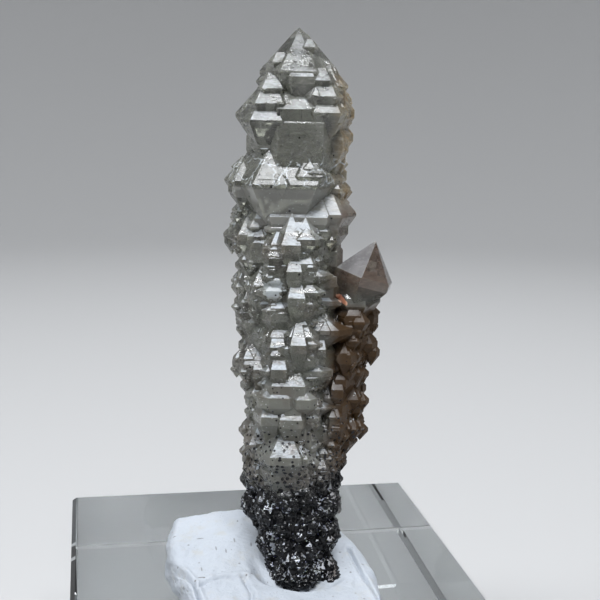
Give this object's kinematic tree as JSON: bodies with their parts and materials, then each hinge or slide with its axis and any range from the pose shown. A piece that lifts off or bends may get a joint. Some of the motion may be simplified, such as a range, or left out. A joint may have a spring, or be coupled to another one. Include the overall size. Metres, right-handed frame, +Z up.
{
  "type": "quartz specimen",
  "caption": "Upright quartz column of stacked parallel crystal heads with a leaning side crystal and a black foot, held in white putty on a clear acrylic display block.",
  "frame": {"origin": "centre of the block's underside", "axes": "+Z up along the crystal column, +X to the right and -Y to the front of the block, the side the crystal stands near"},
  "size_m": [0.051, 0.051, 0.0935],
  "materials": {
    "quartz": "glossy crystal faces, cloudy inside, brown on the right side and glossy black at the foot",
    "putty": "kneaded, matt white",
    "acrylic": "clear, polished"
  },
  "bodies": {
    "root": {"quartz": "quartz", "putty": "putty", "block": "acrylic"}
  },
  "joints": []
}
